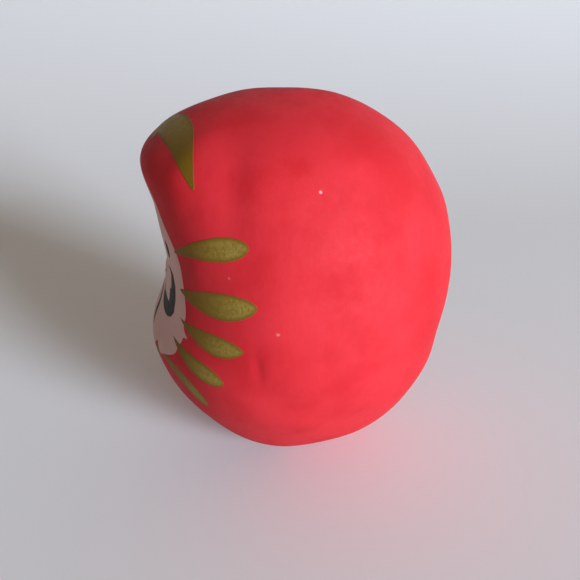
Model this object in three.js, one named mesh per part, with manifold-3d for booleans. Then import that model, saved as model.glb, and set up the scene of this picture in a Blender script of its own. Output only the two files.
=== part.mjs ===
import * as THREE from 'three';
import { mergeVertices } from 'three/addons/utils/BufferGeometryUtils.js';
import Module from 'manifold-3d';

// Papier-mache tumbler doll (daruma), standing on a small flat foot.
// Millimetres, +Z up, face toward -Y, origin under the middle of the overall box.
// The pieces: a one-piece paper shell slit down the back, a paper strip over the slit and
// one behind it, a clay weight bedded in the bottom, and a paper disc closing the foot.

// ---- form of the body -------------------------------------------------------------
const centreHeight = 29.8;      // middle of the body, from which every radius is measured
const bodyY = -2.38;            // the body leans out to the rear, so its axis is ahead of centre

// Radius of the body at angles above the horizontal, straight ahead, straight back and sideways.
// The front draws in between the brow (54 degrees) and the chin (-28): that hollow is the face.
const frontProfile = [
  [-90, 31.0], [-75, 29.5], [-60, 28.0], [-42, 25.8], [-28, 25.2], [-15, 24.0], [-4, 21.6], [6, 20.4],
  [16, 20.3], [27, 22.3], [38, 26.3], [46, 31.3], [54, 32.3], [64, 32.0], [76, 31.4], [90, 31.0],
];
const backProfile = [
  [-90, 31.0], [-75, 32.1], [-60, 31.2], [-38, 29.0], [-15, 27.0],
  [10, 27.9], [32, 29.5], [52, 30.5], [72, 31.2], [90, 31.0],
];
const sideProfile = [
  [-90, 31.0], [-75, 30.7], [-60, 28.8], [-38, 27.2], [-15, 26.6],
  [10, 26.0], [32, 27.8], [52, 30.3], [72, 31.0], [90, 31.0],
];
const columns = 60;             // facets round the body
const rows = 40;                // facets from foot to crown

// ---- wall, joints and weight ------------------------------------------------------
const wall = 1.3;               // paper layers
const footCut = 0.35;           // the shell is cut flat this far above the table
const footWall = 0.9;           // paper left round the base opening
const openingRadius = 5.5;      // hole the clay was pressed in through
const clearance = 0.1;          // paste line between touching pieces

const slitWidth = 0.4;
const slitStart = 4;            // the slit starts this far ahead of the crown
const outerStrip = { width: 7, thickness: 0.35, ahead: 7, bottom: 0.8 };
const innerStrip = { width: 6, thickness: 0.4, ahead: 6, bottom: 14 };

const weightTop = 9.5;
const bedding = { height: 1.4, width: 1.6 };
const baseDisc = { radius: 7.5, thickness: 0.3 };

const wasm = await Module();
wasm.setup();
const { Manifold } = wasm;

// ---- helpers ----------------------------------------------------------------------

// Cubic curve through the profile points, level at both ends.
function radiusAt(profile, angle) {
  const slope = profile.map((point, i) => {
    if (i === 0 || i === profile.length - 1) return 0;
    const [a0, r0] = profile[i - 1];
    const [a1, r1] = profile[i + 1];
    return (r1 - r0) / (a1 - a0);
  });
  let i = 0;
  while (i < profile.length - 2 && angle > profile[i + 1][0]) i += 1;
  const [a0, r0] = profile[i];
  const [a1, r1] = profile[i + 1];
  const span = a1 - a0;
  const t = (angle - a0) / span;
  const s = 1 - t;
  return r0 * (1 + 2 * t) * s * s + r1 * t * t * (3 - 2 * t)
    + span * (slope[i] * t * s * s - slope[i + 1] * t * t * s);
}

// Radius of the body in the direction given by its turn from straight ahead and its rise.
function bodyRadius(turn, rise) {
  const ahead = Math.cos(turn);
  const aside = Math.sin(turn);
  const angle = THREE.MathUtils.radToDeg(rise);
  const lengthwise = radiusAt(ahead > 0 ? frontProfile : backProfile, angle);
  const sideways = radiusAt(sideProfile, angle);
  return 1 / Math.hypot(ahead / lengthwise, aside / sideways);
}

// Closed solid from any closed geometry, with the vertices of its seams merged.
function toSolid(geometry) {
  geometry.deleteAttribute('normal');
  geometry.deleteAttribute('uv');
  const merged = mergeVertices(geometry, 1e-4);
  return new Manifold(new wasm.Mesh({
    numProp: 3,
    vertProperties: new Float32Array(merged.attributes.position.array),
    triVerts: new Uint32Array(merged.index.array),
  }));
}

// The whole body as a solid, grown or shrunk by an offset along the radius:
// a unit ball whose every vertex is pushed out to the body's radius in its direction.
function bodySolid(offset) {
  const ball = new THREE.SphereGeometry(1, columns, rows);
  ball.rotateX(Math.PI / 2);
  const points = ball.attributes.position;
  const direction = new THREE.Vector3();
  for (let i = 0; i < points.count; i += 1) {
    direction.fromBufferAttribute(points, i).normalize();
    const rise = Math.asin(THREE.MathUtils.clamp(direction.z, -1, 1));
    const turn = Math.atan2(direction.x, -direction.y);
    direction.multiplyScalar(bodyRadius(turn, rise) + offset);
    points.setXYZ(i, direction.x, direction.y + bodyY, direction.z + centreHeight);
  }
  return toSolid(ball);
}

// A box given by its lowest and highest corner.
function boxBetween(low, high) {
  const lowest = new THREE.Vector3(...low);
  const highest = new THREE.Vector3(...high);
  const size = highest.clone().sub(lowest);
  const middle = lowest.clone().add(highest).multiplyScalar(0.5);
  const box = new THREE.BoxGeometry(size.x, size.y, size.z);
  box.translate(middle.x, middle.y, middle.z);
  return toSolid(box);
}

// A level slice of everything between two heights.
function slab(low, high) {
  return boxBetween([-60, -60, low], [60, 60, high]);
}

// An upright cylinder on the origin's axis between two heights.
function upright(radius, low, high) {
  const cylinder = new THREE.CylinderGeometry(radius, radius, high - low, 48);
  cylinder.rotateX(Math.PI / 2);
  cylinder.translate(0, 0, (low + high) / 2);
  return toSolid(cylinder);
}

// The band that starts ahead of the crown and runs over it and down the back.
function backBand(width, ahead, bottom) {
  const half = width / 2;
  const overCrown = boxBetween([-half, bodyY - ahead, 42], [half, 60, 80]);
  const downBack = boxBetween([-half, bodyY + 2, bottom], [half, 60, 43]);
  return overCrown.add(downBack);
}

// Named mesh with its own material from a manifold solid.
function toMesh(name, solid, color, roughness) {
  const { vertProperties, triVerts } = solid.getMesh();
  const geometry = new THREE.BufferGeometry();
  geometry.setAttribute('position', new THREE.BufferAttribute(new Float32Array(vertProperties), 3));
  geometry.setIndex(new THREE.BufferAttribute(new Uint32Array(triVerts), 1));
  const flat = geometry.toNonIndexed();
  flat.computeVertexNormals();
  const mesh = new THREE.Mesh(flat, new THREE.MeshStandardMaterial({ color, roughness }));
  mesh.name = name;
  return mesh;
}

// ---- pieces -----------------------------------------------------------------------

// Shell: flat underneath, hollow, open at the foot, slit from the crown down the back.
const outside = bodySolid(0).intersect(slab(footCut, 80));
const hollow = bodySolid(-wall).intersect(slab(footCut + footWall, 80));
const slit = backBand(slitWidth, slitStart, -5);
const shell = outside
  .subtract(hollow)
  .subtract(upright(openingRadius, -5, 5))
  .subtract(slit);

// Strip pasted over the slit on the outside.
const stripOutside = bodySolid(clearance + outerStrip.thickness)
  .subtract(bodySolid(clearance))
  .intersect(backBand(outerStrip.width, outerStrip.ahead, outerStrip.bottom));

// Strip pasted behind the slit on the inside, ending above the weight.
const stripInside = bodySolid(-wall - clearance)
  .subtract(bodySolid(-wall - clearance - innerStrip.thickness))
  .intersect(backBand(innerStrip.width, innerStrip.ahead, innerStrip.bottom));

// Clay weight: fills the bottom of the shell and plugs the opening.
const weightBottom = footCut + footWall + clearance;
const bottomSpace = bodySolid(-wall - 2 * clearance);
const plug = upright(openingRadius - 0.3, footCut + clearance, weightBottom + 0.5);
const weight = bottomSpace.intersect(slab(weightBottom, weightTop)).add(plug);

// Ring of paste that holds the rim of the clay to the paper.
const beddingBottom = weightTop + clearance;
const beddingRing = bottomSpace
  .subtract(bodySolid(-wall - 2 * clearance - bedding.width))
  .intersect(slab(beddingBottom, beddingBottom + bedding.height));

// Paper disc under the foot: the face the doll stands on.
const disc = upright(baseDisc.radius, 0, baseDisc.thickness);

const group = new THREE.Group();
group.name = 'daruma_doll';
group.add(
  toMesh('paper_shell', shell, 0xd0202c, 0.75),
  toMesh('back_seam_strip', stripOutside, 0xc41e2a, 0.8),
  toMesh('inner_seam_strip', stripInside, 0xd8cdb4, 0.9),
  toMesh('clay_weight', weight, 0x9a7b5c, 0.95),
  toMesh('weight_bedding', beddingRing, 0xcfc2a0, 0.8),
  toMesh('base_paper', disc, 0xb8252c, 0.85),
);

export default group;
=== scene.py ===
import math

import bpy
import numpy as np
from mathutils import Matrix, Vector


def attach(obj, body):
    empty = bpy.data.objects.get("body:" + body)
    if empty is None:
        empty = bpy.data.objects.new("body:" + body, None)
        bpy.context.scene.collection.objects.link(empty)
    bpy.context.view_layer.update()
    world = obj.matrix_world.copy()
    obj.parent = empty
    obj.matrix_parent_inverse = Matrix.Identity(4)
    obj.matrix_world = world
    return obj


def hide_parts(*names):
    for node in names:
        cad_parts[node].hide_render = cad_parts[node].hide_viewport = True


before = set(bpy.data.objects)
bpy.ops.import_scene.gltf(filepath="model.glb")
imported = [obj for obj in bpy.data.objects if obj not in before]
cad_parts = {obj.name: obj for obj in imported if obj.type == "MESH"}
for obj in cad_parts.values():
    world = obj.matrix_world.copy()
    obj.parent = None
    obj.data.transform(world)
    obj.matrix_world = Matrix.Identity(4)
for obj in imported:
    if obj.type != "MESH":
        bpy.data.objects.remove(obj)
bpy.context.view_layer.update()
mm = 0.001           # one millimetre in metres
farOutside = -9.0    # paint field where there is none of that paint near (mm)
print("frame loaded:", sorted(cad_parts))

# Rounded from another program's fit.
viewpoint = {
    "aim": (0.0, -1.73, 27.0),     # mm
    "distance": 119.3,             # mm from the aim to the lens
    "elevation": 27.0,             # degrees above the table, looking from the doll's left side
    "roll": 2.1,                   # degrees clockwise
    "lens": 42.64,                 # mm on a 36 mm sensor
}


def setCamera(setup):
    # Looks along -X and down; right is +Y, and both are turned by the roll.
    tilt = math.radians(setup["elevation"])
    roll = math.radians(setup["roll"])
    forward = Vector((-math.cos(tilt), 0, -math.sin(tilt)))
    right = Vector((0, 1, 0))
    up = right.cross(forward)
    rightRolled = right * math.cos(roll) - up * math.sin(roll)
    upRolled = up * math.cos(roll) + right * math.sin(roll)
    place = Vector(setup["aim"]) * mm - forward * setup["distance"] * mm
    lens = bpy.data.cameras.new("studioCamera")
    lens.sensor_width = 36.0
    lens.lens = setup["lens"]
    lens.clip_start = 0.005
    lens.clip_end = 20.0
    camera = bpy.data.objects.new("studioCamera", lens)
    turn = Matrix((rightRolled, upRolled, -forward)).transposed().to_4x4()
    camera.matrix_world = Matrix.Translation(place) @ turn
    bpy.context.scene.collection.objects.link(camera)
    bpy.context.scene.camera = camera


setCamera(viewpoint)
print("camera set")

# Radii in mm from the middle of the body, at degrees above the horizontal. The rows are rounded from
# another program's fits with small changes, and the part's source has the same ones.
bodyForm = {
    "centre": (0.0, -2.38, 29.8),
    "front": [(-90, 31.0), (-75, 29.5), (-60, 28.0), (-42, 25.8), (-28, 25.2), (-15, 24.0), (-4, 21.6),
              (6, 20.4), (16, 20.3), (27, 22.3), (38, 26.3), (46, 31.3), (54, 32.3), (64, 32.0),
              (76, 31.4), (90, 31.0)],
    "back": [(-90, 31.0), (-75, 32.1), (-60, 31.2), (-38, 29.0), (-15, 27.0), (10, 27.9), (32, 29.5),
             (52, 30.5), (72, 31.2), (90, 31.0)],
    "side": [(-90, 31.0), (-75, 30.7), (-60, 28.8), (-38, 27.2), (-15, 26.6), (10, 26.0), (32, 27.8),
             (52, 30.3), (72, 31.0), (90, 31.0)],
    "wall": 1.3,
    "footCut": 0.35,
    "footWall": 0.9,
    "openingRadius": 5.5,
    "footFade": 3.0,   # height over which the unevenness grows from nothing (mm)
}


def profileRadius(profile, rise):
    # Cubic curve through the profile's points, level at both ends.
    knots = np.array(profile, float)
    at, radius = knots[:, 0], knots[:, 1]
    slope = np.zeros(len(at))
    slope[1:-1] = (radius[2:] - radius[:-2]) / (at[2:] - at[:-2])
    i = np.clip(np.searchsorted(at, rise, side="right") - 1, 0, len(at) - 2)
    span = at[i + 1] - at[i]
    t = (rise - at[i]) / span
    s = 1 - t
    return (radius[i] * (1 + 2 * t) * s * s + radius[i + 1] * t * t * (3 - 2 * t)
            + span * (slope[i] * t * s * s - slope[i + 1] * t * t * s))


def bodyRadius(turn, rise):
    # Ellipse between the lengthwise radius and the sideways one, at each rise.
    ahead, aside = np.cos(np.radians(turn)), np.sin(np.radians(turn))
    lengthwise = np.where(ahead > 0, profileRadius(bodyForm["front"], rise),
                          profileRadius(bodyForm["back"], rise))
    sideways = profileRadius(bodyForm["side"], rise)
    return 1 / np.hypot(ahead / lengthwise, aside / sideways)


def direction(turn, rise):
    # Unit vector: turn is degrees from straight ahead toward the left ear, rise is degrees up.
    a, e = np.radians(turn), np.radians(rise)
    return np.stack([np.cos(e) * np.sin(a), -np.cos(e) * np.cos(a), np.sin(e)], -1)


def bodyPoint(turn, rise, offset=0.0):
    # Point of the smooth body in mm, moved out along its radius by the offset.
    radius = bodyRadius(turn, rise) + offset
    return np.array(bodyForm["centre"]) + radius[..., None] * direction(turn, rise)


# Hand-shaped unevenness: slow waves all over, and single dents and swellings.
surfaceWork = {
    "waves": {"count": 14, "shortest": 9.0, "longest": 26.0, "height": 0.055, "seed": 5},
    "spots": [   # turn, rise, half length down, half length across, height (mm), lean (degrees)
        (71, 48, 6.5, 3.1, -0.72, 8),
        (47, 52, 7.0, 3.2, 0.46, 0),
        (105, 38, 6.0, 9.0, 0.26, 0),
        (78, 22, 6.0, 3.8, -0.22, 0),
        (57, 24, 3.2, 3.0, 0.40, 0),
        (62, -17, 8.0, 5.0, 0.34, 0),
        (64, 9.5, 1.5, 5.0, -0.12, 0),
        (79, 1, 5.0, 3.6, -0.14, 0),
        (80.6, -4.7, 2.6, 0.8, -0.18, 4),
        (85, -17, 7.0, 3.6, -0.22, 0),
        (95, 30, 7.0, 3.0, 0.08, 0),
        (112, 6, 9.0, 3.0, -0.10, 10),
        (98, -22, 5.0, 3.5, 0.12, -10),
        (124, 40, 5.0, 4.0, -0.12, 0),
        (150, 15, 6.0, 4.0, 0.14, 15),
        (-70, 36, 5.0, 3.0, -0.26, -8),
        (-96, 2, 7.0, 4.0, 0.14, 0),
        (-120, 30, 5.0, 4.0, -0.16, 12),
        (-60, -30, 4.0, 4.0, 0.14, 0),
        (0, 9.5, 1.6, 1.6, 0.34, 0),      # nose
        (5, 7.0, 0.9, 0.9, 0.14, 0),      # nostril wings
        (-5, 7.0, 0.9, 0.9, 0.14, 0),
    ],
    "spotDepth": 12.0,   # how far off its plane a spot still reaches (mm), less than the body's width
}


def slowWaves(points, setup):
    # Sum of sine waves of random direction, length and phase.
    dice = np.random.default_rng(setup["seed"])
    total = np.zeros(points.shape[:-1])
    for _ in range(setup["count"]):
        way = dice.normal(size=3)
        way /= np.linalg.norm(way)
        length = dice.uniform(setup["shortest"], setup["longest"])
        total += np.sin(points @ way * 2 * math.pi / length + dice.uniform(0, 2 * math.pi))
    return total * setup["height"]


def spotHeights(points, spots, depth):
    # Sum of bell shapes, each on the plane that touches the body at its spot.
    total = np.zeros(points.shape[:-1])
    for turn, rise, down, across, height, lean in spots:
        here = bodyPoint(np.float64(turn), np.float64(rise))
        outward = direction(np.float64(turn), np.float64(rise))
        sideways = np.cross((0, 0, 1.0), outward)
        sideways /= np.linalg.norm(sideways)
        upward = np.cross(outward, sideways)
        c, s = math.cos(math.radians(lean)), math.sin(math.radians(lean))
        offset = points - here
        u = offset @ (sideways * c + upward * s)
        v = offset @ (upward * c - sideways * s)
        w = offset @ outward
        total += height * np.exp(-(u / across) ** 2 - (v / down) ** 2 - (w / depth) ** 2)
    return total


def unevenness(smooth):
    # Waves plus spots, faded out toward the foot so that it stays flat.
    fade = np.clip((smooth[..., 2] - bodyForm["footCut"]) / bodyForm["footFade"], 0, 1)
    waves = slowWaves(smooth, surfaceWork["waves"])
    return (waves + spotHeights(smooth, surfaceWork["spots"], surfaceWork["spotDepth"])) * fade


# Half of the pattern, on the doll's left; the other half mirrors it. The angles of the patch's edge, of
# part of the whisker and of the brow's and the mouth's outer ends were worked out by another program, as
# were most of the leaves' values. Some of them were then changed a little.
faceEdge = {
    "radius": 22.0,   # mean radius of the face (mm)
    "widest": 80,     # the patch and the whiskers lie within this turn
    "highest": 60,    # and below this rise
    # turn and rise along the white patch's edge, from the brow down round the cheek to the chin
    "points": [(0, 46.5), (10, 46.0), (19, 44.3), (27, 41.1), (31.5, 37.8), (36.4, 34.6), (41.2, 31.2),
               (45.2, 26.8), (46.9, 22.6), (48.2, 16.7), (49.9, 9.9), (50.1, 5.5), (49.0, 2.3),
               (49.6, -0.2), (51.5, -2.0), (49.0, -2.5), (48.2, -4.1), (47.3, -5.4), (46.0, -7.1),
               (45.5, -8.4), (44.9, -9.5), (43.6, -10.7), (41.5, -11.9), (38.8, -13.1), (36.4, -14.0),
               (33.6, -15.2), (31.2, -16.0), (29.8, -14.7), (28.2, -12.2), (24.4, -15.0), (20.0, -15.4),
               (16.8, -13.8), (12.5, -15.6), (6.5, -15.6), (3.0, -14.2), (0, -14.8)],
}

goldLeaves = {
    # root turn and rise, end turn and rise, half width and bow toward the lower side (mm), the power
    # that sets how far along the leaf is widest, and the power that rounds its end
    "leaves": [
        ((56.2, 45.5), (-10.0, 52.8), 2.50, 2.86, 1.48, 0.46),
        ((40.4, 27.5), (78.4, 33.2), 1.64, 0.32, 2.45, 0.47),
        ((44.6, 15.3), (81.2, 15.8), 2.00, 0.78, 1.62, 0.56),
        ((46.0, 4.3), (76.0, 0.2), 1.68, 0.72, 1.61, 0.61),
        ((40.6, -4.2), (68.2, -12.8), 1.53, 0.37, 2.05, 0.54),
        ((33.3, -13.0), (57.8, -27.4), 1.52, -0.92, 1.75, 0.42),
        ((33.0, -10.0), (17.0, -30.5), 1.40, 0.0, 1.35, 0.50),
    ],
    "underPatch": 2,   # how many of the last leaves start under the white patch
    "deepest": 9.0,    # a leaf paints nothing further than this behind its middle's plane (mm)
}

inkStrokes = {
    # turn, rise and half width (mm) along each brush stroke
    "strokes": [
        [(4.0, 27.0, 0.50), (7.0, 31.0, 0.95), (11.0, 33.6, 1.15), (14.5, 34.0, 0.95), (17.5, 33.0, 0.50),
         (19.0, 31.5, 0.08)],
        [(32.7, 30.0, 0.06), (33.6, 28.4, 0.66), (34.2, 27.1, 0.84), (34.3, 25.7, 0.60),
         (34.1, 24.4, 0.06)],
        [(2.4, 7.9, 0.12), (4.0, 7.1, 0.20), (5.6, 7.9, 0.14), (5.8, 9.2, 0.05)],
        [(1.2, 3.9, 0.10), (2.8, 4.2, 0.30), (4.4, 3.4, 0.20), (5.4, 2.4, 0.05)],
        [(0.0, 0.4, 0.34), (5.4, -0.7, 0.42), (10.4, -4.4, 0.74), (12.2, -8.0, 0.80), (15.6, -11.3, 0.20)],
    ],
    # turn and rise round the curled whisker on each cheek
    "whisker": [(28.5, 20.6), (33.1, 20.2), (37.6, 18.6), (40.4, 14.5), (41.5, 9.1), (40.4, 3.8),
                (37.4, 0.7), (33.4, -1.0), (29.0, -1.6), (23.2, -1.6), (17.2, -0.8), (12.9, 0.9),
                (9.4, 4.3), (15.0, 2.9), (21.4, 3.7), (27.6, 4.3), (30.8, 4.4), (32.0, 6.8),
                (31.4, 9.4), (29.2, 11.9), (32.4, 10.4), (34.0, 11.8), (33.7, 14.6), (33.9, 17.2),
                (32.0, 18.6)],
    "eye": {"turn": 12.5, "rise": 20.5, "ring": 2.7, "line": 0.26, "pupil": 1.10},
}


def distanceToLines(flat, corners):
    # Shortest distance in a plane from each point to a chain of straight lines.
    nearest = np.full(flat.shape[:-1], 1e9)
    for start, end in zip(corners[:-1], corners[1:]):
        along = end - start
        t = np.clip(((flat - start) @ along) / (along @ along), 0, 1)
        nearest = np.minimum(nearest, np.linalg.norm(flat - start - t[..., None] * along, axis=-1))
    return nearest


def insideOutline(flat, corners):
    # Even-odd rule: counts the edges that a ray toward +u crosses.
    inside = np.zeros(flat.shape[:-1], bool)
    for (u0, v0), (u1, v1) in zip(corners, np.roll(corners, -1, axis=0)):
        if v0 == v1:
            continue
        spans = (flat[..., 1] > min(v0, v1)) & (flat[..., 1] <= max(v0, v1))
        crossing = u0 + (flat[..., 1] - v0) * (u1 - u0) / (v1 - v0)
        inside ^= spans & (flat[..., 0] < crossing)
    return inside


def smoothChain(points, steps):
    # Catmull-Rom curve through the points, whole rows of numbers at once.
    p = np.array(points, float)
    padded = np.vstack([2 * p[0] - p[1], p, 2 * p[-1] - p[-2]])
    t = np.linspace(0, 1, steps, endpoint=False)[:, None]
    rows = []
    for a, b, c, d in zip(padded[:-3], padded[1:-2], padded[2:-1], padded[3:]):
        rows.append(0.5 * (2 * b + (c - a) * t + (2 * a - 5 * b + 4 * c - d) * t ** 2
                           + (3 * b - a - 3 * c + d) * t ** 3))
    return np.vstack(rows + [p[-1:]])


def outlineDistance(turn, rise, outline):
    # Signed distance in mm to a closed outline of turns and rises, plus inside, on the flat map
    # (turn times cosine of rise, rise), with the face's mean radius for its scale.
    scale = math.radians(faceEdge["radius"])

    def flatten(t, r):
        return np.stack([t * np.cos(np.radians(r)) * scale, r * scale], -1)

    corners = flatten(outline[:, 0], outline[:, 1])
    near = (np.abs(turn) < faceEdge["widest"]) & (rise < faceEdge["highest"])
    signed = np.full(turn.shape, farOutside)
    flat = flatten(turn[near], rise[near])
    distance = distanceToLines(flat, np.vstack([corners, corners[:1]]))
    signed[near] = np.where(insideOutline(flat, corners), distance, -distance)
    return signed


def faceDistance(turn, rise):
    # The patch's edge runs down its left half and back up the mirrored right half.
    edge = smoothChain(faceEdge["points"], 4)
    return outlineDistance(turn, rise, np.vstack([edge, edge[-2:0:-1] * (-1, 1)]))


def leafFields(points, face):
    # For every point: how far inside the nearest leaf it lies, and how far along that leaf it is.
    # The half width grows along the leaf as a sine of a power of the way along.
    leaves = goldLeaves["leaves"]
    best = np.full(points.shape[:-1], farOutside)
    along = np.zeros(points.shape[:-1])
    for side in (1, -1):
        for number, (root, end, halfWidth, bow, widestAt, fullness) in enumerate(leaves):
            start = bodyPoint(np.float64(root[0] * side), np.float64(root[1]))
            stop = bodyPoint(np.float64(end[0] * side), np.float64(end[1]))
            middleTurn, middleRise = (root[0] + end[0]) / 2 * side, (root[1] + end[1]) / 2
            outward = direction(np.float64(middleTurn), np.float64(middleRise))
            reach = np.linalg.norm(stop - start)
            way = (stop - start) / reach
            across = np.cross(outward, way) * side
            across /= np.linalg.norm(across)
            offset = points - start
            t = offset @ way / reach
            inRange = np.clip(t, 0, 1)
            sag = bow * 4 * inRange * (1 - inRange)
            d = offset @ across + sag
            swell = np.sin(math.pi * np.clip(t, 1e-4, 1 - 1e-4) ** widestAt)
            width = halfWidth * swell ** fullness
            inside = width - np.abs(d)
            beyond = np.maximum(-t, t - 1) * reach
            inside = np.where(beyond > 0, -np.hypot(np.maximum(beyond, 0), d), inside)
            inside = np.where(offset @ outward < -goldLeaves["deepest"], farOutside, inside)
            if number >= len(leaves) - goldLeaves["underPatch"]:
                inside = np.minimum(inside, -face)
            closer = inside > best
            best = np.where(closer, inside, best)
            along = np.where(closer, inRange, along)
    return best, along


def insideStroke(points, stroke, side):
    # How far inside one brush stroke each point lies: a chain of discs of changing width.
    best = np.full(points.shape[:-1], farOutside)
    chain = smoothChain(stroke, 8)
    spine = bodyPoint(chain[:, 0] * side, chain[:, 1])
    widths = np.maximum(chain[:, 2], 0.02)
    for a, b, wa, wb in zip(spine[:-1], spine[1:], widths[:-1], widths[1:]):
        line = b - a
        t = np.clip(((points - a) @ line) / (line @ line), 0, 1)
        gap = np.linalg.norm(points - a - t[..., None] * line, axis=-1)
        best = np.maximum(best, wa + (wb - wa) * t - gap)
    return best


def inkField(points, turn, rise):
    # How far inside the nearest black stroke, whisker, eye ring or pupil each point lies.
    best = np.full(points.shape[:-1], farOutside)
    eye = inkStrokes["eye"]
    for side in (1, -1):
        for stroke in inkStrokes["strokes"]:
            best = np.maximum(best, insideStroke(points, stroke, side))
        best = np.maximum(best, outlineDistance(turn * side, rise, np.array(inkStrokes["whisker"])))
        middle = bodyPoint(np.float64(eye["turn"] * side), np.float64(eye["rise"]))
        gap = np.linalg.norm(points - middle, axis=-1)
        best = np.maximum(best, eye["line"] - np.abs(gap - eye["ring"]))
        best = np.maximum(best, eye["pupil"] - gap)
    return best


def gridFaces(rows, columns):
    # Quads of a grid whose columns close on themselves, outward when rows climb.
    r, c = np.meshgrid(np.arange(rows - 1), np.arange(columns), indexing="ij")
    n = (c + 1) % columns
    low, high = r * columns, (r + 1) * columns
    return np.stack([low + c, low + n, high + n, high + c], -1).reshape(-1, 4)


def makeMesh(name, vertices, faces):
    # Smooth-shaded mesh from points in mm, placed in the scene unturned and unscaled.
    mesh = bpy.data.meshes.new(name)
    mesh.from_pydata((vertices * mm).tolist(), [], faces)
    mesh.update()
    mesh.polygons.foreach_set("use_smooth", np.full(len(mesh.polygons), True))
    piece = bpy.data.objects.new(name, mesh)
    bpy.context.scene.collection.objects.link(piece)
    return piece


def addField(piece, name, values):
    # One number for every point, which materials read by its name.
    field = piece.data.attributes.new(name, "FLOAT", "POINT")
    field.data.foreach_set("value", np.asarray(values, np.float32))


shellMesh = {
    # turn from straight ahead (degrees) and the relative closeness of the columns there
    "columnDensity": [(0, 2.0), (52, 2.0), (60, 1.15), (88, 1.15), (105, 0.5), (180, 0.42)],
    # the same for the rows, at rises from the lowest one to the crown
    "rowDensity": [(-70, 1.0), (-34, 1.2), (-22, 2.2), (60, 2.2), (70, 1.1), (90, 0.8)],
    "columns": 400,
    "outerRows": 206,
    "innerRows": 20,
    "innerLowest": -78,      # rise of the lowest row of the inside
    "footRings": (0.0, 0.35, 0.7),   # rings of the flat foot, as shares of the way out
}


def spreadBy(fine, closeness, shares):
    # Adds up the closeness along the fine steps and reads off where each share of the sum is reached.
    total = np.cumsum(closeness)
    total = (total - total[0]) / (total[-1] - total[0])
    return np.interp(shares, total, fine)


def shellTurns(setup):
    # Angles round the body, closer together over the face and its leaves.
    at, closeness = np.array(setup["columnDensity"]).T
    fine = np.linspace(-180, 180, 7201)
    shares = np.linspace(0, 1, setup["columns"], endpoint=False)
    return spreadBy(fine, np.interp(np.abs(fine), at, closeness), shares)


def shellRiseShares(setup):
    # Shares of the way from foot to crown, closer together from the chin's leaves to the brow.
    at, closeness = np.array(setup["rowDensity"]).T
    fine = np.linspace(at[0], 90, 2000)
    rises = spreadBy(fine, np.interp(fine, at, closeness), np.linspace(0, 1, setup["outerRows"]))
    return (rises - at[0]) / (90 - at[0])


def buildShell():
    # One closed skin: out of the opening, up the outside to the crown, and back down the inside.
    turns = shellTurns(shellMesh)
    columns = len(turns)
    form = bodyForm

    # rise at which the outside reaches the foot, for each turn, found by bisection
    low, high = np.full(columns, -89.0), np.full(columns, -40.0)
    for _ in range(30):
        middle = (low + high) / 2
        above = bodyPoint(turns, middle)[:, 2] > form["footCut"]
        low, high = np.where(above, low, middle), np.where(above, middle, high)
    footRise = (low + high) / 2
    share = shellRiseShares(shellMesh)
    rises = footRise[None, :] + share[:-1, None] * (90 - footRise[None, :])
    turnGrid = np.broadcast_to(turns, rises.shape)
    smooth = bodyPoint(turnGrid, rises)
    outer = smooth + unevenness(smooth)[..., None] * direction(turnGrid, rises)
    crown = bodyPoint(np.float64(0), np.float64(90.0))

    # flat underside ring and the wall of the opening, round the foot's own middle
    angle = np.radians(turns)
    hole = form["openingRadius"]
    rim = np.stack([hole * np.sin(angle), -hole * np.cos(angle), np.full(columns, form["footCut"])], -1)
    footEdge = outer[0]
    ring = [rim + (footEdge - rim) * s for s in shellMesh["footRings"]]
    opening = [rim + (0, 0, form["footWall"])]

    # inside of the wall: down from the crown, flat at the bottom
    insideRise = np.linspace(90, shellMesh["innerLowest"], shellMesh["innerRows"] + 1)[1:]
    insideGrid = np.broadcast_to(insideRise[:, None], (len(insideRise), columns))
    insideTurn = np.broadcast_to(turns, insideGrid.shape)
    inner = bodyPoint(insideTurn, insideGrid, -form["wall"])
    inner[..., 2] = np.maximum(inner[..., 2], form["footCut"] + form["footWall"])
    insideCrown = bodyPoint(np.float64(0), np.float64(90.0), np.float64(-form["wall"]))

    # rows from the inside crown pole, down, through the opening, out and up to the outer crown
    layers = np.concatenate([inner, np.array(opening), np.array(ring), outer])
    rows = len(layers)
    faces = gridFaces(rows, columns).tolist()
    insidePole, outsidePole = rows * columns, rows * columns + 1
    first, last = np.arange(columns), (rows - 1) * columns + np.arange(columns)
    faces += np.stack([np.full(columns, insidePole), np.roll(first, -1), first], -1).tolist()
    faces += np.stack([np.full(columns, outsidePole), last, np.roll(last, -1)], -1).tolist()
    vertices = np.concatenate([layers.reshape(-1, 3), insideCrown[None], crown[None]])
    piece = makeMesh("paperShell", vertices, faces)

    # paint fields live on the outside only
    face = faceDistance(turnGrid, rises)
    gold, goldAlong = leafFields(smooth, face)
    ink = inkField(smooth, turnGrid, rises)
    lead = rows * columns - outer.shape[0] * columns
    paints = {"face": (face, farOutside), "gold": (gold, farOutside), "goldAlong": (goldAlong, 0.0),
              "ink": (ink, farOutside), "outside": (np.ones_like(ink), 0.0)}
    for name, (values, filler) in paints.items():
        atCrown = 1.0 if name == "outside" else filler
        addField(piece, name, np.concatenate([np.full(lead, filler), values.ravel(), [filler, atCrown]]))
    return piece


shell = buildShell()
print("paper shell:", len(shell.data.polygons), "faces")


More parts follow.
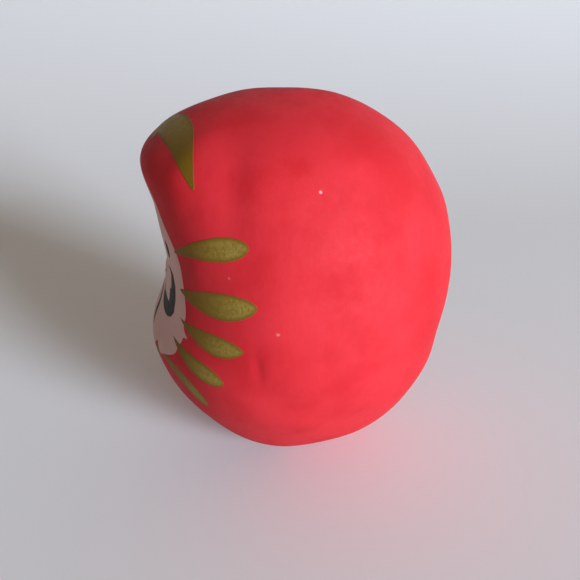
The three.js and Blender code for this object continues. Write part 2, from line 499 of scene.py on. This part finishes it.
class Nodes:
    # Small helper: adds a node, sets its values and links what is passed in.
    def __init__(self, name):
        self.material = bpy.data.materials.new(name)
        self.material.use_nodes = True
        self.tree = self.material.node_tree
        self.surface = self.tree.nodes["Principled BSDF"]

    def add(self, kind, inputs=(), **settings):
        node = self.tree.nodes.new(kind)
        for key, value in settings.items():
            setattr(node, key, value)
        for socket, value in dict(inputs).items():
            self.put(node.inputs[socket], value)
        return node

    def put(self, socket, value):
        if isinstance(value, bpy.types.NodeSocket):
            self.tree.links.new(value, socket)
        else:
            socket.default_value = value

    def field(self, name):
        return self.add("ShaderNodeAttribute", attribute_name=name).outputs["Fac"]

    def place(self):
        return self.add("ShaderNodeTexCoord").outputs["Object"]

    def math(self, operation, a, b=0.0, clamp=False):
        return self.add("ShaderNodeMath", {0: a, 1: b}, operation=operation, use_clamp=clamp).outputs[0]

    def noise(self, scale, detail=2.0, rough=0.5, vector=None):
        inputs = {"Vector": vector or self.place(), "Scale": scale, "Detail": detail, "Roughness": rough}
        return self.add("ShaderNodeTexNoise", inputs).outputs["Fac"]

    def ramp(self, value, low, high, toLow=0.0, toHigh=1.0):
        return self.add("ShaderNodeMapRange", {"Value": value, "From Min": low, "From Max": high,
                                               "To Min": toLow, "To Max": toHigh},
                        interpolation_type="SMOOTHSTEP").outputs["Result"]

    def mix(self, share, a, b):
        node = self.add("ShaderNodeMix", data_type="RGBA")
        self.put(node.inputs[0], share)
        self.put(node.inputs[6], a)
        self.put(node.inputs[7], b)
        return node.outputs[2]

    def bump(self, height, distance):
        return self.add("ShaderNodeBump", {"Height": height, "Distance": distance,
                                           "Strength": 1.0}).outputs["Normal"]


paintLook = {
    "red": (0.57, 0.020, 0.028, 1),
    "redDeep": (0.51, 0.012, 0.018, 1),
    "redWorn": (0.61, 0.034, 0.042, 1),
    "white": (0.66, 0.405, 0.365, 1),
    # the white near the patch's edge, darker and pinker: painted shade and painted red reflected light from
    # the rim
    "whiteRimPaintedShade": (0.61, 0.335, 0.30, 1),
    "gold": (0.20, 0.110, 0.007, 1),
    "goldPale": (0.35, 0.25, 0.055, 1),
    "goldGreen": (0.16, 0.118, 0.012, 1),
    "goldThin": (0.17, 0.085, 0.016, 1),
    "ink": (0.028, 0.029, 0.026, 1),
    "inkThin": (0.09, 0.085, 0.08, 1),
    "bare": (0.62, 0.56, 0.46, 1),
    "chip": (0.80, 0.55, 0.50, 1),
    "roughness": 0.70,
    "gloss": 0.20,          # specular level
    "edgeWobble": 0.10,     # mm
    "edgeSoft": 0.05,       # half the width of a paint's edge (mm)
    "goldMetal": 0.35,
    "relief": 0.00004,      # height of the brush marks and paint layers (m)
    # noise scales, in waves per metre
    "cloud": 130,
    "mottle": 900,
    "brush": (900, 900, 160),
    "wobble": 1100,
    "dusting": 700,
    "grain": 2600,
    "patch": 1700,
    "inkWear": 1500,
    "chipEdge": 4000,
    # turn, rise, radius (mm) and strength of each chip
    "chips": [(104.7, 46.6, 0.30, 0.75), (71.5, 24.3, 0.24, 0.30), (87.3, 7.7, 0.30, 0.25)],
}


def paintedPaper(look, withPattern=True):
    # Mottled red, then white with painted shade and painted red reflected light near its edge, gold and ink
    # where their fields pass nought, then bare paper and chips.
    m = Nodes("paintedPaper" if withPattern else "paintedStrip")
    place = m.place()
    cloud = m.noise(look["cloud"], 3, 0.55)
    mottle = m.noise(look["mottle"], 4, 0.65)
    brushPlace = m.add("ShaderNodeMapping", {"Vector": place, "Scale": look["brush"]}).outputs[0]
    brush = m.noise(1.0, 3, 0.6, brushPlace)
    colour = m.mix(m.ramp(cloud, 0.35, 0.70), look["red"], look["redDeep"])
    colour = m.mix(m.ramp(mottle, 0.55, 0.85, 0, 0.35), colour, look["redWorn"])
    colour = m.mix(m.ramp(brush, 0.50, 0.85, 0, 0.25), colour, look["redDeep"])
    height = m.math("ADD", m.math("MULTIPLY", mottle, 0.45), m.math("MULTIPLY", brush, 0.55))
    rough = m.ramp(mottle, 0.3, 0.7, look["roughness"] - 0.05, look["roughness"] + 0.08)
    if withPattern:
        wobble = m.math("MULTIPLY", m.math("SUBTRACT", m.noise(look["wobble"], 2), 0.5), look["edgeWobble"])
        soft = look["edgeSoft"]
        faceIn = m.ramp(m.math("ADD", m.field("face"), wobble), -soft, soft)
        goldIn = m.ramp(m.math("ADD", m.field("gold"), wobble), -soft, soft)
        inkIn = m.ramp(m.math("ADD", m.field("ink"), wobble), -soft, soft)
        # Within 2.4 mm of its edge the white turns darker and pinker: painted shade and painted red
        # reflected light from the red around it.
        white = m.mix(m.ramp(m.field("face"), 0.0, 2.4, 0.55, 0.0), look["white"], look["whiteRimPaintedShade"])
        white = m.mix(m.ramp(m.noise(look["dusting"], 3), 0.45, 0.8, 0, 0.12), white, look["bare"])
        colour = m.mix(faceIn, colour, white)
        grain = m.noise(look["grain"], 3, 0.7)
        patch = m.noise(look["patch"], 4, 0.7)
        heart = m.ramp(m.field("gold"), 0.0, 0.8)
        outer = m.ramp(m.field("goldAlong"), 0.22, 0.90)
        pale = m.math("MULTIPLY", m.math("MULTIPLY", heart, outer), m.ramp(patch, 0.25, 0.72, 0.15, 1.0))
        pale = m.math("MULTIPLY", pale, m.ramp(grain, 0.25, 0.75, 0.70, 1.45))
        leafGold = m.mix(pale, look["gold"], look["goldPale"])
        leafGold = m.mix(m.ramp(patch, 0.45, 0.75, 0, 0.30), leafGold, look["goldGreen"])
        speckle = m.math("MULTIPLY", m.math("SUBTRACT", grain, 0.5), 0.3)
        thin = m.ramp(m.math("ADD", m.field("gold"), speckle), 0.0, 0.30, 0.35, 0.0)
        leafGold = m.mix(thin, leafGold, look["goldThin"])
        colour = m.mix(goldIn, colour, leafGold)
        inkWear = m.ramp(m.noise(look["inkWear"], 3), 0.4, 0.75, 0, 0.5)
        inkTone = m.mix(inkWear, look["ink"], look["inkThin"])
        colour = m.mix(inkIn, colour, inkTone)
        bare = m.math("SUBTRACT", 1.0, m.field("outside"), clamp=True)
        colour = m.mix(bare, colour, look["bare"])
        for turn, rise, size, strength in look["chips"]:
            chip = bodyPoint(np.float64(turn), np.float64(rise)) * mm
            gap = m.add("ShaderNodeVectorMath", {0: place, 1: tuple(chip)},
                        operation="DISTANCE").outputs["Value"]
            chipIn = m.ramp(m.math("ADD", gap, m.math("MULTIPLY", m.noise(look["chipEdge"], 2), 0.0002)),
                            (size + 0.16) * mm, (size - 0.16) * mm)
            colour = m.mix(m.math("MULTIPLY", chipIn, strength), colour, look["chip"])
        height = m.math("ADD", height, m.math("MULTIPLY", goldIn, 0.9))
        height = m.math("ADD", height, m.math("MULTIPLY", m.math("MULTIPLY", grain, goldIn), 0.8))
        height = m.math("SUBTRACT", height, m.math("MULTIPLY", faceIn, 0.6))
        height = m.math("ADD", height, m.math("MULTIPLY", inkIn, 0.4))
        metal = m.math("MULTIPLY", goldIn, look["goldMetal"])
        m.put(m.surface.inputs["Metallic"], metal)
        rough = m.math("SUBTRACT", rough, m.math("MULTIPLY", goldIn, 0.10))
    m.put(m.surface.inputs["Base Color"], colour)
    m.put(m.surface.inputs["Roughness"], rough)
    m.surface.inputs["Specular IOR Level"].default_value = look["gloss"]
    m.put(m.surface.inputs["Normal"], m.bump(height, look["relief"]))
    return m.material


shell.data.materials.append(paintedPaper(paintLook))
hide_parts("paper_shell")
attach(shell, "root")

stripForm = {
    "halfWidth": 3.45,
    "thickness": 0.16,       # how far it stands out of the shell (mm)
    "sunk": 0.04,            # how far its feathered edges lie in the paste
    "body": 0.10,            # paper under that level
    "taper": 16.0,           # degrees over which its front end thins out
    "startAngle": 77.0,      # degrees up from straight ahead, over the crown, to the foot behind
    "endAngle": 246.0,
    "edgeWaver": [(0.18, 0.21, 1.0), (0.10, 0.67, 0.0)],   # size (mm), radians per degree, shift
    "rows": 300,
    "across": 26,
}


def sagittalPoint(angle, sideways, offset):
    # Point above the body where the plane through its middle line meets it, moved sideways.
    guessRise = np.where(angle <= 90, angle, 180 - angle)
    guessTurn = np.where(angle <= 90, 0.0, 180.0)
    reach = bodyRadius(guessTurn, guessRise)
    a = np.radians(angle)
    guess = np.stack([sideways, -reach * np.cos(a), reach * np.sin(a)], -1)
    unit = guess / np.linalg.norm(guess, axis=-1, keepdims=True)
    rise = np.degrees(np.arcsin(unit[..., 2]))
    turn = np.degrees(np.arctan2(unit[..., 0], -unit[..., 1]))
    smooth = bodyPoint(turn, rise)
    return smooth + (unevenness(smooth) + offset)[..., None] * unit


def buildStrip(setup):
    # A flat ring of points across the strip, upper side then lower side, carried along the seam.
    rows, across = setup["rows"], setup["across"]
    angle = np.linspace(setup["startAngle"], setup["endAngle"], rows)[:, None]
    s = np.linspace(-1, 1, across)[None, :]
    half = setup["halfWidth"] + sum(size * np.sin(angle * pace + shift)
                                    for size, pace, shift in setup["edgeWaver"])
    grow = np.clip((angle - setup["startAngle"]) / setup["taper"], 0, 1)
    rise = grow * grow * (3 - 2 * grow) * (1 - np.abs(s) ** 3)
    top = (setup["thickness"] + setup["sunk"]) * rise - setup["sunk"]
    angles = np.broadcast_to(angle, (rows, across))
    upper = sagittalPoint(angles, s * half, np.broadcast_to(top, (rows, across)))
    lower = sagittalPoint(angles, -s * half, np.full((rows, across), -setup["sunk"] - setup["body"]))
    ringPoints = np.concatenate([upper, lower], axis=1)
    columns = 2 * across
    faces = gridFaces(rows, columns)[:, ::-1].tolist()
    faces.append(list(range(columns)))
    faces.append(list(range(rows * columns - 1, (rows - 1) * columns - 1, -1)))
    return makeMesh("backSeamStrip", ringPoints.reshape(-1, 3), faces)


strip = buildStrip(stripForm)
strip.data.materials.append(paintedPaper(paintLook, withPattern=False))
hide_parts("back_seam_strip")
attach(strip, "root")
print("back seam strip:", len(strip.data.polygons), "faces")


def fibrousPaper(name, tone, dark):
    # Long thin noise for the fibres sets the tone, the roughness and the bumps.
    m = Nodes(name)
    fibres = m.add("ShaderNodeMapping", {"Vector": m.place(), "Scale": (2200, 500, 900)}).outputs[0]
    strands = m.noise(1.0, 5, 0.7, fibres)
    m.put(m.surface.inputs["Base Color"], m.mix(m.ramp(strands, 0.35, 0.7), tone, dark))
    m.put(m.surface.inputs["Roughness"], m.ramp(strands, 0.3, 0.7, 0.82, 0.95))
    m.put(m.surface.inputs["Normal"], m.bump(strands, 0.00008))
    return m.material


def dryClay(name, tone, dark, grit=(0.62, 0.55, 0.46, 1)):
    # Broad lumps and fine pale grit, in tone and in height.
    m = Nodes(name)
    lumps = m.noise(260, 5, 0.6)
    grains = m.noise(2600, 3, 0.8)
    colour = m.mix(m.ramp(lumps, 0.35, 0.7), tone, dark)
    colour = m.mix(m.ramp(grains, 0.62, 0.75, 0, 0.5), colour, grit)
    m.put(m.surface.inputs["Base Color"], colour)
    m.put(m.surface.inputs["Roughness"], 0.92)
    height = m.math("ADD", lumps, m.math("MULTIPLY", grains, 0.3))
    m.put(m.surface.inputs["Normal"], m.bump(height, 0.0003))
    return m.material


innerLooks = {
    "inner_seam_strip": fibrousPaper("bareStrip", (0.58, 0.50, 0.38, 1), (0.44, 0.37, 0.26, 1)),
    "weight_bedding": fibrousPaper("pastedPulp", (0.52, 0.45, 0.33, 1), (0.36, 0.30, 0.20, 1)),
    "clay_weight": dryClay("dryClay", (0.30, 0.21, 0.14, 1), (0.20, 0.135, 0.085, 1)),
    "base_paper": fibrousPaper("basePaper", (0.50, 0.07, 0.07, 1), (0.36, 0.04, 0.05, 1)),
}
for node, material in innerLooks.items():
    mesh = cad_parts[node].data
    mesh.materials.clear()
    mesh.materials.append(material)
print("inner pieces finished")

# The key light's and the sky's values started from another program's fit.
studio = {
    "floorTone": (0.82, 0.82, 0.82, 1),
    "sweep": {"start": -0.09, "steepness": 0.70, "reach": 1.3, "side": 6.0},   # metres
    "key": {"place": (2.125, 2.016, 0.649), "aim": (0, 0, 0.025), "size": (0.9, 1.1), "power": 181.0,
            "tone": (0.763, 0.856, 1.0)},
    "sky": {"tone": (1.0, 0.80, 0.60, 1), "low": 0.12, "high": 0.40, "brightSide": (-0.55, 0.80, -0.20)},
}


def softFloor(tone):
    # Plain and matte.
    m = Nodes("paleFloor")
    m.put(m.surface.inputs["Base Color"], tone)
    m.put(m.surface.inputs["Roughness"], 0.9)
    return m.material


def buildStudio(setup):
    # The floor is level under the doll and climbs behind it as steepness times distance squared.
    # The sky's strength runs from low to high with how far a direction leans to the bright side.
    sweep = setup["sweep"]
    x = np.concatenate([[sweep["side"]], np.linspace(sweep["start"], sweep["start"] - sweep["reach"], 60)])
    z = sweep["steepness"] * np.maximum(sweep["start"] - x, 0) ** 2
    y = np.array([-sweep["side"], sweep["side"]])
    points = np.stack([np.repeat(x, 2), np.tile(y, len(x)), np.repeat(z, 2)], -1) / mm
    i = np.arange(len(x) - 1) * 2
    floor = makeMesh("paleFloor", points, np.stack([i, i + 1, i + 3, i + 2], -1).tolist())
    floor.data.materials.append(softFloor(setup["floorTone"]))
    key = setup["key"]
    lamp = bpy.data.lights.new("windowLight", "AREA")
    lamp.shape = "RECTANGLE"
    lamp.size, lamp.size_y = key["size"]
    lamp.energy = key["power"]
    lamp.color = key["tone"]
    lampObject = bpy.data.objects.new("windowLight", lamp)
    place = Vector(key["place"])
    lampObject.matrix_world = (Matrix.Translation(place)
                               @ (place - Vector(key["aim"])).to_track_quat("Z", "Y").to_matrix().to_4x4())
    lampObject.visible_camera = False
    bpy.context.scene.collection.objects.link(lampObject)
    world = bpy.data.worlds.new("softRoom")
    world.use_nodes = True
    tree, sky = world.node_tree, setup["sky"]
    background = tree.nodes["Background"]
    background.inputs["Color"].default_value = sky["tone"]
    side = tree.nodes.new("ShaderNodeVectorMath")
    side.operation = "DOT_PRODUCT"
    side.inputs[1].default_value = sky["brightSide"]
    tree.links.new(tree.nodes.new("ShaderNodeTexCoord").outputs["Generated"], side.inputs[0])
    strength = tree.nodes.new("ShaderNodeMapRange")
    strength.inputs["From Min"].default_value = -1.0
    strength.inputs["To Min"].default_value = sky["low"]
    strength.inputs["To Max"].default_value = sky["high"]
    tree.links.new(side.outputs["Value"], strength.inputs["Value"])
    tree.links.new(strength.outputs["Result"], background.inputs["Strength"])
    bpy.context.scene.world = world
    bpy.context.scene.view_settings.view_transform = "Standard"


buildStudio(studio)
print("studio lit")
